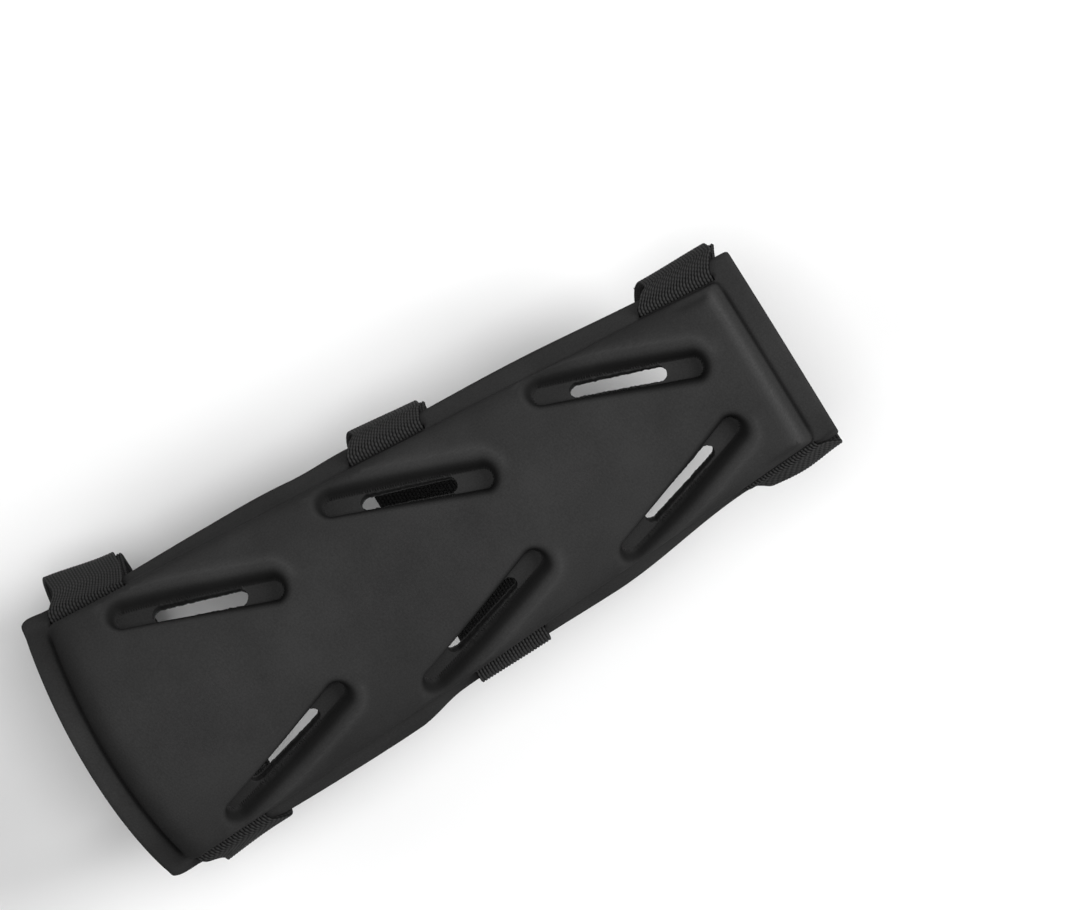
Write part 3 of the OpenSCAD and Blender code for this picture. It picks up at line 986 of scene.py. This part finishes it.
def make_shell():
    flat, tris = flat_mesh(COVER_SPACING, True)
    face = face_height(flat)
    back = face - SKIN
    cover = layer_mesh("moulded_cover", flat, tris, face, back, cover_material())
    # The cover's painted shade, and below 0 its painted highlight, kept per point for its material
    attribute = cover.data.attributes.new("pressed", "FLOAT", "POINT")
    cloth = np.empty(len(cover.data.vertices) * 3, np.float32)
    cover.data.attributes["cloth"].data.foreach_get("vector", cloth)
    tone = painted_shade_and_highlight(cloth.reshape(-1, 3)[:, :2].astype(float))
    attribute.data.foreach_set("value", tone.astype(np.float32))
    finish_piece(cover, "shell", "face_cover")

    core = layer_mesh("foam_body", flat, tris, back - LAYER_GAP, np.full(len(flat), SKIN + LAYER_GAP),
                      foam_material())
    finish_piece(core, "shell", "foam_core")

    flat, tris = flat_mesh(LINING_SPACING, False)
    lining = layer_mesh("arm_lining", flat, tris, np.full(len(flat), SKIN), np.zeros(len(flat)),
                        lining_material())
    finish_piece(lining, "shell", "backing_lining")


def strap_path(key, x):
    """A strap's whole way round: sewn tail, +Y slit, loop, and up into the -Y slit."""
    inner = -STRAP_THICKNESS / 2 - SEWN_GAP
    left, right = LOOP_SHIFT[key]
    lean = left + (right - left) * ((x - STRAPS[key][0]) / STRAP_WIDTH + 0.5)
    loop_start = curved_into(over_flange(x, 1)[-1], loop_path(key, x, *FRONT_SPAN, STRAP_THICKNESS / 2))
    return np.vstack([
        shifted(loop_path(key, x, *TAIL_SPAN, inner), 0.6 * lean + TAIL_SHIFT, lean + TAIL_SHIFT),
        shifted(under_flange(x, 1), 0.7 * lean, 0.2 * lean),
        shifted(in_slit(x, 1, 0, 1), 0, 0),
        shifted(over_flange(x, 1), 0, 0.6 * lean),
        shifted(loop_start, lean, 0),
        shifted(loop_path(key, x, *BACK_SPAN, STRAP_THICKNESS / 2), 0, 0),
        shifted(under_flange(x, -1), 0, 0),
        shifted(in_slit(x, -1, 0, 0.5), 0, 0)])


def tab_path(key, x, skew):
    """The closing tab: out of the -Y slit, over the flange and back round the loop."""
    loop = loop_path(key, x + skew, *TAB_SPAN, (TAB_BASE + TAB_TOP) / 2)
    return np.vstack([
        shifted(in_slit(x, -1, 0.5, 1), 0, 0),
        shifted(over_flange(x, -1), 0.1 * skew, 0.85 * skew),
        shifted(curved_into(over_flange(x, -1)[-1], loop), skew, skew)])


def make_strap(key, materials):
    x = STRAPS[key][0]
    skew = 0.0 if key == "middle" else TAB_SKEW
    body = f"{key}_closing_tab"
    strap = webbing(f"{key}_webbing", lambda at: strap_path(key, at), x, materials["webbing"])
    finish_piece(strap, "shell", f"{key}_strap")

    tab = webbing(f"{key}_pull_tab", lambda at: tab_path(key, at, skew), x, materials["webbing"])
    fold_arc = flange_half(x - STRAP_WIDTH / 2) + FIT_GAP / 2
    fold = polar(OVER + STRAP_THICKNESS / 2, -fold_arc)
    ahead = loop_point(key, x, FOLD_ANGLE, (TAB_BASE + TAB_TOP) / 2) - fold
    ahead /= np.linalg.norm(ahead)
    ends = leaned([(x, *(fold + ahead * reach)) for reach in FOLD_REACH]) * MM
    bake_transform(tab)
    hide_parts(f"{key}_tab")

    seed = SEED + len(key)
    loops = patch(f"{key}_pile_patch", key, 0, *PILE_SPAN, LOOP_BASE, HOOK_BASE - PEEL_GAP, materials["pile"],
                  seed, 0.12)
    finish_piece(loops, "shell", f"{key}_loop_patch")
    hooks = patch(f"{key}_hook_strip", key, skew, *HOOK_SPAN, HOOK_BASE, TAB_BASE, materials["hook"],
                  seed + 1, 0.05)
    finish_piece(hooks, body, f"{key}_hook_patch")
    anchor = stitches(f"{key}_anchor_thread", key, 0, *ANCHOR_SPAN, LOOP_BASE, materials["thread"])
    finish_piece(anchor, "shell", f"{key}_anchor_stitching")
    seam = stitches(f"{key}_tab_thread", key, skew, *HOOK_SPAN, TAB_TOP, materials["thread"])
    finish_piece(seam, body, f"{key}_tab_stitching")


bpy.context.scene.view_settings.view_transform = "Standard"
view_axes = make_camera()
make_studio(*view_axes)
make_floor()
make_shell()
strap_materials = {"webbing": webbing_material(), "pile": pile_material(),
                   "hook": hook_material(), "thread": thread_material()}
for strap_key in STRAPS:
    make_strap(strap_key, strap_materials)
